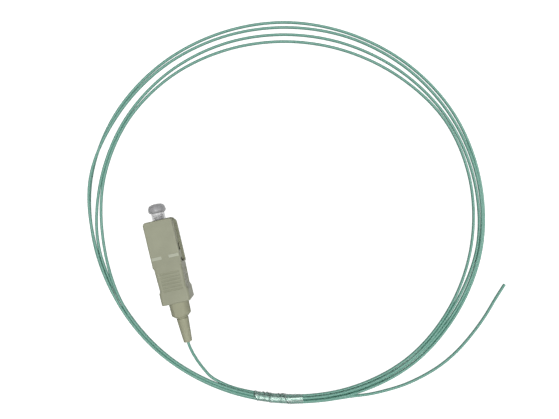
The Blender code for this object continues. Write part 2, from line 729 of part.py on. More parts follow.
def lead_route():
    """From inside the stop ring, straight out of the boot, and down to the ring's inner side."""
    inside = on_axis(FLANGE_BACK - FLANGE_TAIL_LENGTH - FERRULE_FLOAT - GAP)
    leaving = on_axis(BOOT_BACK - FIBRE_STRAIGHT_FROM_BOOT)
    exit_place = on_axis(BOOT_BACK)
    return [inside, exit_place, leaving, *LEAD_ROUTE]


def make_fibre(parts):
    lead = lead_route()
    bend = smooth_path(lead[1:], FIBRE_POINT_SPACING)
    place(tube("fiber_lead", [Vector(lead[0]), *bend], FIBRE_DIAMETER), parts, finish="fibre_jacket")
    tail = smooth_path([on_ring(*point) for point in TAIL_ROUTE], FIBRE_POINT_SPACING)
    place(tube("fiber_tail", tail, FIBRE_DIAMETER), parts, finish="fibre_jacket")


def main():
    clear_scene()
    parts = new_collection("fibre_optic_pigtail")
    tools = new_collection("cutters")
    axis = bpy.data.objects.new("plug_axis", None)
    axis.location = (0.0, AXIS_FRONT_Y * MM, AXIS_HEIGHT_AT_FRONT * MM)
    axis.rotation_euler = (PITCH, 0.0, 0.0)
    parts.objects.link(axis)
    make_housing(parts, tools, axis)
    make_frame(parts, tools, axis)
    make_ferrule(parts, axis)
    make_flange(parts, axis)
    make_spring(parts, axis)
    make_stop_ring(parts, axis)
    make_boot(parts, tools, axis)
    make_dust_cap(parts, axis)
    ring = make_ring_solid(parts)
    make_wrap(parts, tools, ring)
    make_fibre(parts)


main()
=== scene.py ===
"""Looks of the fibre optic pigtail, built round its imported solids.

The frame is in metres. Sizes named here are in millimetres, as in the part's own source, and the
plug's pieces are shaped along its own axis: x across, then the distance forward, then up.
"""

import json
import math

import bmesh
import bpy
import numpy as np
from mathutils import Matrix, Vector, noise


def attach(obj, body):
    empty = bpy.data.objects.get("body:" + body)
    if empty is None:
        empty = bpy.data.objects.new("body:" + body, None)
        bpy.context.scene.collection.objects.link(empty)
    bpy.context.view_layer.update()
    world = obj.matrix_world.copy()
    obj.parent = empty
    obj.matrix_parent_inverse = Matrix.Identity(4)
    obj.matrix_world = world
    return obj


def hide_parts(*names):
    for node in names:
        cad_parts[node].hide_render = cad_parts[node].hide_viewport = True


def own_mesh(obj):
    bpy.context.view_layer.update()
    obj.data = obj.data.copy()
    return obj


MM = 0.001

# Camera, straight above the ring and turned as the photograph is
CAMERA_OVER = (36.95, 11.93)
CAMERA_HEIGHT = 152.0
CAMERA_TURN = -12.65
CAMERA_LENS = 30.64
CAMERA_SENSOR = 36.0

# The plug
HOUSING_LENGTH = 26.0
HOUSING_WIDTH = 9.0
HOUSING_HEIGHT = 7.4
HOUSING_WALL = 0.7
HOUSING_EDGE = 0.35
GRIP_EDGE = 0.78
HOUSING_INNER_EDGE = 0.15
FRONT_CORNER = 1.0
LOWER_FRONT_CORNER = 2.0
BACK_CORNER = 0.4
FRONT_RIM = 0.1
WAIST_START = 14.1
WAIST_SLOPE = 0.5
WAIST_STOP = 21.4
WAIST_START_DEPTH = 0.2
WAIST_DEPTH = 0.4
FLARE_LENGTH = 0.9
RECESS_DEPTH = 0.65
RECESS_SET_BACK = 0.8
RECESS_HALF_HEIGHT = 2.8
RECESS_LENGTH = 13.6
RECESS_RAMP = 0.15
WINDOW_START = 8.2
WINDOW_STOP = 14.0
WINDOW_HALF_HEIGHT = 1.7
WINDOW_EDGE = 0.08
KEY_HALF_WIDTH = 1.1
KEY_HEIGHT = 0.9
KEY_START = 0.4
KEY_STOP = 8.0
RIPPLE_COUNT = 6
SIDE_RIPPLE_COUNT = 5
RIPPLE_PITCH = 1.05
RIPPLE_FIRST = 16.4
RIPPLE_HALF_WIDTH = 0.4
RIPPLE_DEPTH = 0.17
RIPPLE_REACH = 3.1
SIDE_RIPPLE_DEPTH = 0.22
SIDE_RIPPLE_REACH = 2.8
MARK_START = 10.95
MARK_STOP = 11.8
MARK_INNER = 1.15
MARK_OUTER = 4.0
MARK_HEIGHT = 0.04
STEP = 0.05
CLOSEST_STATIONS = 0.012

BOOT_RADIUS = 3.15
BOOT_BASE_END_RADIUS = 3.0
BOOT_FLAT = 2.7
BOOT_FLAT_ROUNDING = 0.12
BOOT_FLAT_REACH = 0.25
BOOT_FRONT = -23.1
BOOT_BASE_BACK = -31.05
BOOT_CHAMFER = 0.9
BOOT_GROOVE_RADIUS = 1.6
BOOT_TAIL_START_RADIUS = 1.85
BOOT_TAIL_END_RADIUS = 1.3
BOOT_BACK = -39.1
BOOT_SOCKET_RADIUS = 2.0
BOOT_SOCKET_BACK = -28.1
FIBRE_HOLE_RADIUS = 0.75

CAP_FRONT = 5.0
CAP_HEAD_BACK = 2.2
CAP_HEAD_RADIUS = 2.7
CAP_STEM_RADIUS = 2.0
CAP_BORE_RADIUS = 1.55
CAP_STEM_BACK = -5.2
CAP_BORE_FRONT = 1.6
CAP_RIBS = 10
CAP_RIB_DEPTH = 0.1

SPRING_RADIUS = 1.82
SPRING_WIRE = 0.36
SPRING_TURNS = 5
SPRING_FRONT = -10.5
SPRING_LENGTH = 6.7

# The fibre, with its route as in the part's own source
FIBRE_DIAMETER = 0.9
FIBRE_CORE_RADIUS = 0.13
FIBRE_SIDES = 16
FIBRE_SPACING = 1.8
FIBRE_INSIDE_BOOT = -34.0
FIBRE_STRAIGHT_FROM_BOOT = 1.1
RING_RADIUS = 59.4
WRAP_BEARING = 257.35
STATION_DEGREES = 20.0
TURN_SPREADS = (
    (-0.9, 0.2, 1.2, 1.0, 0.6, 0.1, -0.9, -3.2, -4.7, -5.1, -4.4, -2.8, -1.2, -0.5, -0.5, 0.0, -0.4, -0.7),
    (-0.4, 0.8, 2.0, 1.9, 2.5, 1.4, 0.1, -1.5, -2.6, -2.9, -2.3, -1.3, -0.3, 0.4, 1.2, 0.3, -0.1, -0.3),
    (0.1, 1.4, 2.6, 2.9, 3.2, 2.3, 1.4, 0.4, -0.3, -0.6, -0.1, 1.1, 2.3, 3.5, 1.9, 1.0, 0.5, 0.1),
    (0.6, 2.0, 3.4, 3.8, 3.9, 3.2, 2.6, 1.6, 0.9, 1.0, 1.3, 2.2, 3.2, 3.5, 2.4, 1.3, 0.8, 0.6),
)
TURN_HEIGHTS = (
    (
        0.45, 0.45, 0.45, 0.45, 0.45, 0.45, 0.45, 0.45, 0.45,
        0.45, 0.45, 0.45, 0.45, 0.45, 0.5, 1.31, 1.31, 1.21,
    ),
    (
        1.21, 1.15, 0.95, 0.5, 0.45, 0.45, 0.45, 0.45, 0.45,
        0.45, 0.45, 0.45, 0.45, 0.45, 0.45, 0.45, 0.45, 0.45,
    ),
    (
        0.45, 0.45, 0.45, 0.65, 1.05, 1.0, 0.45, 0.45, 0.45,
        0.45, 0.45, 0.45, 0.85, 1.4, 1.31, 1.31, 1.31, 1.21,
    ),
    (
        1.21, 1.15, 0.95, 0.5, 0.45, 0.45, 0.45, 0.45, 0.45,
        0.45, 0.45, 0.45, 0.45, 0.45, 0.45, 0.45, 0.45, 0.45,
    ),
)
LEAD_IN = ((-24.7, -1.9), (-20.0, -1.25), (-10.0, -1.1))
TAIL_OUT = ((0.0, 1.1), (10.0, 1.7), (20.0, 3.0))
RING_JOIN = (3.88, -35.02)
LEAD_ROUTE = (
    (0.17, -24.31, 2.85),
    (0.58, -26.47, 2.42),
    (1.20, -28.81, 1.83),
    (2.06, -31.29, 1.20),
    (3.08, -33.62, 0.70),
    (3.66, -34.72, 0.52),
)
TAIL_ROUTE = (
    (22.3, 3.65),
    (23.7, 4.1),
    (29.1, 5.65),
    (34.8, 7.35),
    (39.9, 8.65),
    (45.5, 9.95),
    (50.8, 10.8),
    (56.7, 11.45),
    (62.5, 12.15),
    (67.8, 12.85),
    (71.7, 13.95),
)

# The clear film wound round the ring, from one angle past the join to another
FILM_START = -10.0
FILM_STOP = 5.2
FILM_TURNS = 3
FILM_OVERLAP = 1.1
FILM_CLEARANCE = 0.05
FILM_THICKNESS = 0.05
FILM_LIFT = 0.1
FILM_LIFTED_PAST_OVERLAP = 0.35
FILM_SLACK = 0.4
FILM_SMOOTH_WRINKLE = 0.004
FILM_INNER_WRINKLE = 0.045
FILM_LOWEST = 0.08
# Where the film's painted highlight band lies, as distances outside the ring's radius
FILM_HIGHLIGHT_SPAN = (-1.1, 0.5)
FILM_POINTS_AROUND = 44
FILM_POINTS_ACROSS = 22

# The stage
TABLE_GREY = (0.27, 0.27, 0.27)
TABLE_HALF = 4000.0
TABLE_DROP = 0.02
BACKDROP_RADIUS = 3800.0
BACKDROP_HEIGHTS = (-10.0, 6000.0)
BACKDROP_SIDES = 64

# Colours
BEIGE = (0.35, 0.36, 0.262)
PALE = (0.47, 0.49, 0.385)
BOOT_BEIGE = (0.38, 0.385, 0.272)
CAP_GREY = (0.41, 0.41, 0.42)
AQUA = (0.185, 0.418, 0.333)
AQUA_DEEP = (0.145, 0.36, 0.285)
GLASS = (0.75, 0.82, 0.82)
FILM_TINT = (0.42, 0.54, 0.5)
# Colour of the painted highlight band on the film
FILM_PAINTED_HIGHLIGHT = (0.62, 0.95, 0.82)
# Dark colour for the film's lifted edges: painted shade
FILM_EDGE_PAINTED_SHADE = (0.08, 0.16, 0.13)
NICKEL = (0.62, 0.6, 0.57)
ZIRCONIA_WHITE = (0.9, 0.9, 0.88)

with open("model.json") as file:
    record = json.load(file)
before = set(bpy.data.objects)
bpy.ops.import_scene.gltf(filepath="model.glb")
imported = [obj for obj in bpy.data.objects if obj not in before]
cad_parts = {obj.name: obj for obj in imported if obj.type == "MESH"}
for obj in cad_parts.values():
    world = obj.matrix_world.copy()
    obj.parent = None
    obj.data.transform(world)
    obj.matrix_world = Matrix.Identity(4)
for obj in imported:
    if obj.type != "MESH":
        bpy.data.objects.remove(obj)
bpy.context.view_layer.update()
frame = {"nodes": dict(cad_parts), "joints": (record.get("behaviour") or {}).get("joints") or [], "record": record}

# The plug's own axes in the frame: forward from the first joint, and its front from the mating face
FORWARD = Vector(frame["joints"][0]["axis"]).normalized()
UP = Vector((1.0, 0.0, 0.0)).cross(FORWARD)
MATING_FACE = next(m for m in frame["record"]["mounts"] if m["name"] == "mating_face")
PLUG_FRONT = Vector(MATING_FACE["pos_m"]) - UP * (HOUSING_HEIGHT - HOUSING_WALL - HOUSING_EDGE) / 2 * MM
RING_ANGLE = math.radians(WRAP_BEARING + LEAD_IN[0][0])
RING_CENTRE = (
    RING_JOIN[0] - (RING_RADIUS + LEAD_IN[0][1]) * math.cos(RING_ANGLE),
    RING_JOIN[1] - (RING_RADIUS + LEAD_IN[0][1]) * math.sin(RING_ANGLE),
)


def on_plug(across, along, up):
    """The frame's point, in metres, for a point given along the plug's own axes in millimetres."""
    return PLUG_FRONT + (Vector((across, 0.0, 0.0)) + FORWARD * along + UP * up) * MM


def on_ring(angle, spread, height):
    """The frame's point, in metres, at an angle round the ring and a distance outside its radius."""
    bearing = math.radians(WRAP_BEARING + angle)
    radius = RING_RADIUS + spread
    return Vector((
        RING_CENTRE[0] + radius * math.cos(bearing),
        RING_CENTRE[1] + radius * math.sin(bearing),
        height,
    )) * MM


# Mesh helpers


def finish_mesh(name, verts, faces, sharp=38.0):
    """A smooth-shaded mesh object whose edges stay crisp where faces meet at more than an angle."""
    mesh = bpy.data.meshes.new(name)
    mesh.from_pydata([tuple(v) for v in verts], [], faces)
    shape = bmesh.new()
    shape.from_mesh(mesh)
    bmesh.ops.recalc_face_normals(shape, faces=shape.faces)
    for face in shape.faces:
        face.smooth = True
    for edge in shape.edges:
        edge.smooth = len(edge.link_faces) < 2 or edge.calc_face_angle(0.0) < math.radians(sharp)
    shape.to_mesh(mesh)
    shape.free()
    item = bpy.data.objects.new(name, mesh)
    bpy.context.scene.collection.objects.link(item)
    return item


def smooth_path(knots, spacing):
    """Points along a smooth curve through the given ones, about evenly spaced."""
    chord = [(b - a).length for a, b in zip(knots, knots[1:])]
    slopes = [(knots[1] - knots[0]) / chord[0]]
    for index in range(1, len(knots) - 1):
        before = (knots[index] - knots[index - 1]) / chord[index - 1]
        after = (knots[index + 1] - knots[index]) / chord[index]
        share = chord[index] / (chord[index - 1] + chord[index])
        slopes.append(before * share + after * (1 - share))
    slopes.append((knots[-1] - knots[-2]) / chord[-1])
    path = [knots[0]]
    for index, length in enumerate(chord):
        steps = max(1, round(length / spacing))
        for step in range(1, steps + 1):
            t = step / steps
            start = knots[index] * (2 * t**3 - 3 * t**2 + 1)
            start += slopes[index] * length * (t**3 - 2 * t**2 + t)
            stop = knots[index + 1] * (3 * t**2 - 2 * t**3)
            stop += slopes[index + 1] * length * (t**3 - t**2)
            path.append(start + stop)
    return path


def path_frames(path):
    """Two directions square to the path at each of its points, carried along without twist."""
    tangents = [(b - a).normalized() for a, b in zip(path, path[1:])]
    tangents.append(tangents[-1])
    side = tangents[0].orthogonal().normalized()
    found = []
    for index in range(len(path)):
        tangent = (tangents[max(index - 1, 0)] + tangents[index]).normalized()
        side = (side - tangent * side.dot(tangent)).normalized()
        found.append((side, tangent.cross(side), tangent))
    return found


def tube_rings(path, radius, sides):
    """Rings of points round a path, one ring a point."""
    rings = []
    for centre, (side, other, _) in zip(path, path_frames(path)):
        turn = [2 * math.pi * k / sides for k in range(sides)]
        rings.append([centre + (side * math.cos(a) + other * math.sin(a)) * radius for a in turn])
    return rings


def stitch(rings, closed=False):
    """Points and quads of a skin over rings that all have the same number of points."""
    count = len(rings[0])
    verts = [point for ring in rings for point in ring]
    faces = []
    pairs = list(zip(range(len(rings)), range(1, len(rings))))
    if closed:
        pairs.append((len(rings) - 1, 0))
    for first, second in pairs:
        for k in range(count):
            following = (k + 1) % count
            faces.append((
                first * count + k, first * count + following,
                second * count + following, second * count + k,
            ))
    return verts, faces


def rounded(profile, steps=5):
    """An outline of (radius, along, corner radius) with each corner turned into a short arc."""
    points = []
    count = len(profile)
    for index, (radius, along, corner) in enumerate(profile):
        here = Vector((radius, along))
        if corner <= 0:
            points.append(here)
            continue
        before = Vector(profile[index - 1][:2])
        after = Vector(profile[(index + 1) % count][:2])
        start = here + (before - here).normalized() * corner
        stop = here + (after - here).normalized() * corner
        for step in range(steps + 1):
            t = step / steps
            points.append(start * (1 - t) ** 2 + here * 2 * t * (1 - t) + stop * t**2)
    return points


def turned(name, profile, segments, reshape=None, on_axis_ends=False):
    """A turned piece on the plug's axis. With on_axis_ends the profile runs from axis to axis."""
    points = rounded(profile)
    rings = []
    for radius, along in points:
        ring = []
        for k in range(segments):
            angle = 2 * math.pi * k / segments
            across, up = radius * math.cos(angle), radius * math.sin(angle)
            if reshape:
                across, up = reshape(across, along, up, angle)
            ring.append(on_plug(across, along, up))
        rings.append(ring)
    if on_axis_ends:
        inner = rings[1:-1]
        verts, faces = stitch(inner)
        first = len(verts)
        verts = verts + [on_plug(0, points[0].y, 0), on_plug(0, points[-1].y, 0)]
        last_ring = (len(inner) - 1) * segments
        for k in range(segments):
            following = (k + 1) % segments
            faces.append((first, following, k))
            faces.append((first + 1, last_ring + k, last_ring + following))
    else:
        verts, faces = stitch(rings, closed=True)
    return finish_mesh(name, verts, faces)


# Materials


class Look:
    """A material's node tree, with short calls for the nodes used here."""

    def __init__(self, name, colour, roughness, metallic=0.0):
        self.material = bpy.data.materials.new(name)
        self.material.use_nodes = True
        self.nodes = self.material.node_tree.nodes
        self.links = self.material.node_tree.links
        self.shader = self.nodes["Principled BSDF"]
        self.set("Base Color", (*colour, 1.0))
        self.set("Roughness", roughness)
        self.set("Metallic", metallic)
        self.place = self.nodes.new("ShaderNodeTexCoord").outputs["Object"]
        self.material.diffuse_color = (*colour, 1.0)

    def set(self, socket, value):
        self.shader.inputs[socket].default_value = value

    def link(self, source, socket):
        self.links.new(source, self.shader.inputs[socket] if isinstance(socket, str) else socket)

    def stretched(self, scale, source=None):
        """Texture coordinates scaled differently along each axis."""
        node = self.nodes.new("ShaderNodeMapping")
        node.inputs["Scale"].default_value = scale
        self.links.new(source or self.place, node.inputs["Vector"])
        return node.outputs["Vector"]

    def noise(self, scale, detail, vector=None):
        node = self.nodes.new("ShaderNodeTexNoise")
        node.inputs["Scale"].default_value = scale
        node.inputs["Detail"].default_value = detail
        self.links.new(vector or self.place, node.inputs["Vector"])
        return node.outputs["Fac"]

    def ramp(self, source, stops):
        """A colour ramp with the given (position, colour) stops."""
        node = self.nodes.new("ShaderNodeValToRGB")
        bands = node.color_ramp.elements
        stops = list(stops)
        while len(bands) < len(stops):
            bands.new(0.5)
        for band, (position, colour) in zip(bands, stops):
            band.position = position
            band.color = (*colour, 1.0)
        self.links.new(source, node.inputs["Fac"])
        return node.outputs["Color"]

    def range(self, source, low, high, start=0.3, stop=0.7):
        node = self.nodes.new("ShaderNodeMapRange")
        for socket, value in zip(("From Min", "From Max", "To Min", "To Max"), (start, stop, low, high)):
            node.inputs[socket].default_value = value
        self.links.new(source, node.inputs["Value"])
        return node.outputs["Result"]

    def maximum(self, first, second):
        node = self.nodes.new("ShaderNodeMath")
        node.operation = "MAXIMUM"
        self.links.new(first, node.inputs[0])
        self.links.new(second, node.inputs[1])
        return node.outputs["Value"]

    def bump(self, source, distance):
        node = self.nodes.new("ShaderNodeBump")
        node.inputs["Strength"].default_value = 1.0
        node.inputs["Distance"].default_value = distance
        self.links.new(source, node.inputs["Height"])
        return node.outputs["Normal"]


def shade(colour, factor):
    return tuple(min(1.0, channel * factor) for channel in colour)


def moulded_plastic(name, colour, roughness, grain=0.004, tone=0.06, gloss=0.3):
    """Satin moulded plastic: fine spark-eroded grain, with slow changes of tone and gloss."""
    look = Look(name, colour, roughness)
    tones = ((0.3, shade(colour, 1 - tone)), (0.7, shade(colour, 1 + tone)))
    look.link(look.ramp(look.noise(160.0, 2.0), tones), "Base Color")
    fine = look.noise(5200.0, 4.0)
    look.link(look.range(look.noise(700.0, 3.0), roughness - 0.05, roughness + 0.05), "Roughness")
    look.link(look.bump(fine, grain * MM), "Normal")
    look.set("Specular IOR Level", gloss)
    return look.material


def cloudy_plastic(name, colour, roughness, thin_until, thick_from):
    """Clear moulded plastic gone cloudy, seen through where it is thin, up to a distance along Y."""
    look = Look(name, colour, roughness)
    cloud = look.noise(900.0, 3.0, look.stretched((1.0, 0.2, 1.0)))
    look.link(look.ramp(cloud, ((0.32, shade(colour, 0.85)), (0.7, shade(colour, 1.15)))), "Base Color")
    look.link(look.range(cloud, roughness - 0.08, roughness + 0.1), "Roughness")
    split = look.nodes.new("ShaderNodeSeparateXYZ")
    look.link(look.place, split.inputs["Vector"])
    thick = look.range(split.outputs["Y"], 0.0, 0.92, thin_until, thick_from)
    look.link(look.maximum(thick, look.range(cloud, 0.5, 0.2)), "Alpha")
    look.link(look.bump(look.noise(1400.0, 3.0), 0.01 * MM), "Normal")
    return look.material


def fibre_jacket(name, colour, deep):
    """The buffered fibre's extruded jacket: satin, with faint streaks along its length."""
    look = Look(name, colour, 0.34)
    place = look.nodes.new("ShaderNodeTexCoord").outputs["UV"]
    streak = look.noise(1.0, 3.0, look.stretched((9.0, 14.0, 1.0), place))
    look.link(look.ramp(streak, ((0.3, deep), (0.7, colour))), "Base Color")
    look.link(look.range(streak, 0.3, 0.42), "Roughness")
    drawn = look.noise(1.0, 2.0, look.stretched((24.0, 420.0, 1.0), place))
    look.link(look.bump(drawn, 0.003 * MM), "Normal")
    return look.material


def glass_core(name):
    look = Look(name, GLASS, 0.08)
    look.link(look.bump(look.noise(9000.0, 2.0), 0.002 * MM), "Normal")
    return look.material


def plated_metal(name, colour, roughness):
    """Nickel plating with turning marks."""
    look = Look(name, colour, roughness, 1.0)
    marks = look.noise(60.0, 2.0, look.stretched((1.0, 90.0, 1.0)))
    look.link(look.ramp(marks, ((0.3, shade(colour, 0.88)), (0.7, colour))), "Base Color")
    look.link(look.range(marks, roughness - 0.05, roughness + 0.08), "Roughness")
    look.link(look.bump(marks, 0.003 * MM), "Normal")
    return look.material


def zirconia(name, colour):
    look = Look(name, colour, 0.14)
    tones = ((0.3, shade(colour, 0.96)), (0.7, colour))
    look.link(look.ramp(look.noise(500.0, 2.0), tones), "Base Color")
    look.link(look.bump(look.noise(6000.0, 2.0), 0.001 * MM), "Normal")
    look.set("Coat Weight", 0.4)
    look.set("Coat Roughness", 0.05)
    return look.material


def clear_film(name, colour, clear, cloudy, painted_highlight=None):
    """Thin clear film, a little cloudy where creased, with a painted highlight: a light, denser band over the
    middle of the bundle.
    """
    look = Look(name, colour, 0.2)
    crease = look.noise(420.0, 4.0)
    opacity = look.range(crease, clear, cloudy)
    if painted_highlight:
        # Painted highlight: a lighter, more opaque band at set distances from the ring's centre, its edges
        # wandering with the creases
        apart = look.nodes.new("ShaderNodeVectorMath")
        apart.operation = "DISTANCE"
        apart.inputs[1].default_value = (RING_CENTRE[0] * MM, RING_CENTRE[1] * MM, MM)
        look.link(look.place, apart.inputs[0])
        inside, outside = ((RING_RADIUS + spread) * MM for spread in FILM_HIGHLIGHT_SPAN)
        reach = look.range(apart.outputs["Value"], 0.0, 1.0, inside, outside)
        wander = look.nodes.new("ShaderNodeMath")
        wander.operation = "MULTIPLY_ADD"
        wander.inputs[1].default_value = 0.2
        look.link(crease, wander.inputs[0])
        look.link(reach, wander.inputs[2])
        bands = (0.25, 0.45, 0.75, 0.95)
        reach = wander.outputs["Value"]
        look.link(look.ramp(reach, zip(bands, (colour, painted_highlight, painted_highlight, colour))), "Base Color")
        highlight_opacity = (0.72, 0.72, 0.72)
        empty = (0.0, 0.0, 0.0)
        opacity = look.maximum(opacity, look.ramp(reach, zip(bands, (empty, highlight_opacity, highlight_opacity, empty))))
    look.link(opacity, "Alpha")
    look.link(look.bump(look.noise(800.0, 3.0), 0.004 * MM), "Normal")
    look.set("Specular IOR Level", 0.8)
    look.set("IOR", 1.7)
    return look.material


# Camera, floor and light


def make_camera():
    lens = bpy.data.cameras.new("camera")
    lens.sensor_width = CAMERA_SENSOR
    lens.lens = CAMERA_LENS
    lens.clip_start = 10 * MM
    lens.clip_end = 20.0
    camera = bpy.data.objects.new("camera", lens)
    camera.location = (CAMERA_OVER[0] * MM, CAMERA_OVER[1] * MM, CAMERA_HEIGHT * MM)
    camera.rotation_euler = (0.0, 0.0, math.radians(CAMERA_TURN))
    bpy.context.scene.collection.objects.link(camera)
    bpy.context.scene.camera = camera


def bright_white(name, relief):
    """Plain white to the eye, but with little stray light to throw back."""
    look = Look(name, TABLE_GREY, 0.9)
    look.set("Emission Color", (1.0, 1.0, 1.0, 1.0))
    look.link(look.bump(look.noise(relief, 2.0), 0.02 * MM), "Normal")
    return look


def make_floor():
    """A white table top, white to the eye and in reflections."""
    half = TABLE_HALF * MM
    corners = [(-half, -half, 0.0), (half, -half, 0.0), (half, half, 0.0), (-half, half, 0.0)]
    floor = finish_mesh("table_top", corners, [(0, 1, 2, 3)])
    look = bright_white("white_table", 30.0)
    ray = look.nodes.new("ShaderNodeLightPath").outputs
    seen = look.maximum(ray["Is Camera Ray"], ray["Is Glossy Ray"])
    look.link(look.maximum(seen, ray["Is Transmission Ray"]), "Emission Strength")
    floor.data.materials.append(look.material)
    floor.location.z = -TABLE_DROP * MM


def make_backdrop():
    """A white wall far round the table, seen by the camera alone, so that low views show no horizon."""
    turn = [2 * math.pi * k / BACKDROP_SIDES for k in range(BACKDROP_SIDES)]
    rings = []
    for height in BACKDROP_HEIGHTS:
        rings.append([
            Vector((BACKDROP_RADIUS * math.cos(a), BACKDROP_RADIUS * math.sin(a), height)) * MM for a in turn
        ])
    wall = finish_mesh("backdrop", *stitch(rings))
    look = bright_white("white_wall", 3.0)
    look.set("Emission Strength", 1.0)
    wall.data.materials.append(look.material)
    wall.visible_diffuse = False
    wall.visible_glossy = False
    wall.visible_transmission = False
    wall.visible_shadow = False


def make_light(name, place, size, power, aim):
    """A soft rectangular lamp at a place, pointing at the aim."""
    lamp = bpy.data.lights.new(name, "AREA")
    lamp.shape = "RECTANGLE"
    lamp.size, lamp.size_y = size
    lamp.energy = power
    item = bpy.data.objects.new(name, lamp)
    item.location = place
    item.rotation_euler = (Vector(aim) - Vector(place)).to_track_quat("-Z", "Y").to_euler()
    bpy.context.scene.collection.objects.link(item)


def make_studio():
    world = bpy.data.worlds.new("studio")
    world.use_nodes = True
    world.node_tree.nodes["Background"].inputs["Color"].default_value = (1.0, 1.0, 1.0, 1.0)
    world.node_tree.nodes["Background"].inputs["Strength"].default_value = 0.13
    bpy.context.scene.world = world
    aim = (0.03, 0.0, 0.0)
    make_light("key", (0.03, -0.15, 1.0), (0.6, 0.6), 6.8, aim)
    make_light("fill", (0.5, 0.0, 0.6), (0.3, 0.3), 1.5, aim)
    bpy.context.scene.view_settings.view_transform = "Standard"
    bpy.context.scene.view_settings.look = "None"


# The fibre


def fibre_knots():
    straight = (FIBRE_INSIDE_BOOT, BOOT_BACK, BOOT_BACK - FIBRE_STRAIGHT_FROM_BOOT)
    knots = [on_plug(0, along, 0) for along in straight]
    knots += [Vector(point) * MM for point in LEAD_ROUTE]
    low = FIBRE_DIAMETER / 2
    knots += [on_ring(angle, spread, low) for angle, spread in LEAD_IN[1:]]
    for spreads, heights in zip(TURN_SPREADS, TURN_HEIGHTS):
        for station, (spread, height) in enumerate(zip(spreads, heights)):
            knots.append(on_ring(station * STATION_DEGREES, spread, height))
    knots += [on_ring(angle, spread, low) for angle, spread in (*TAIL_OUT, *TAIL_ROUTE)]
    return knots


def make_fibre(jacket, core):
    """One fibre from inside the boot, four times round the ring, to its bare cut end."""
    path = smooth_path(fibre_knots(), FIBRE_SPACING * MM)
    radius = FIBRE_DIAMETER / 2 * MM
    rings = tube_rings(path, radius, FIBRE_SIDES)
    side, other, tangent = path_frames(path)[-1]
    end = path[-1]
    for size, reach in ((0.94, 0.03), (FIBRE_CORE_RADIUS / 0.45, 0.0), (FIBRE_CORE_RADIUS / 0.46, 0.1)):
        turn = [2 * math.pi * k / FIBRE_SIDES for k in range(FIBRE_SIDES)]
        centre = end + tangent * reach * MM
        rings.append([centre + (side * math.cos(a) + other * math.sin(a)) * radius * size for a in turn])
    verts, faces = stitch(rings)
    faces.append(tuple(range(FIBRE_SIDES))[::-1])
    faces.append(tuple(range(len(verts) - FIBRE_SIDES, len(verts))))
    fibre = finish_mesh("buffered_fibre", verts, faces)
    lengths = [0.0]
    for a, b in zip(path, path[1:]):
        lengths.append(lengths[-1] + (b - a).length)
    lengths += [lengths[-1]] * 3
    layer = fibre.data.uv_layers.new(name="along")
    for polygon in fibre.data.polygons:
        numbers = [fibre.data.loops[loop].vertex_index for loop in polygon.loop_indices]
        wraps = max(n % FIBRE_SIDES for n in numbers) - min(n % FIBRE_SIDES for n in numbers) > 1
        for loop, number in zip(polygon.loop_indices, numbers):
            around = number % FIBRE_SIDES
            if wraps and around == 0 and len(numbers) == 4:
                around = FIBRE_SIDES
            layer.data[loop].uv = (around / FIBRE_SIDES, lengths[number // FIBRE_SIDES])
    fibre.data.materials.append(jacket)
    fibre.data.materials.append(core)
    tip = (len(path) + 1) * FIBRE_SIDES
    for polygon in fibre.data.polygons:
        if min(fibre.data.loops[loop].vertex_index for loop in polygon.loop_indices) >= tip:
            polygon.material_index = 1
    return fibre, path, lengths[-1]


# The film


def strands_at(angle, path_angles, path_spreads, path_heights):
    """Where each pass of the fibre lies in the ring's section, as spread and height."""
    found = []
    for turn in range(len(TURN_SPREADS) + 1):
        at = angle + 360.0 * turn
        if path_angles[0] <= at <= path_angles[-1]:
            found.append((
                float(np.interp(at, path_angles, path_spreads)),
                float(np.interp(at, path_angles, path_heights)),
            ))
    return found


def hull_outline(centres, radius, count):
    """Evenly spaced points round the tight outline of some circles, from the bottom, clockwise."""
    raw = []
    for k in range(240):
        angle = -math.pi / 2 - 2 * math.pi * k / 240
        direction = np.array((math.cos(angle), math.sin(angle)))
        best = max(centres, key=lambda c: c[0] * direction[0] + c[1] * direction[1])
        raw.append(np.array(best) + direction * radius)
    raw.append(raw[0])
    raw = np.array(raw)
    steps = np.concatenate(((0.0,), np.cumsum(np.linalg.norm(np.diff(raw, axis=0), axis=1))))
    at = np.linspace(0.0, steps[-1], count + 1)
    return np.stack((np.interp(at, steps, raw[:, 0]), np.interp(at, steps, raw[:, 1])), axis=1)


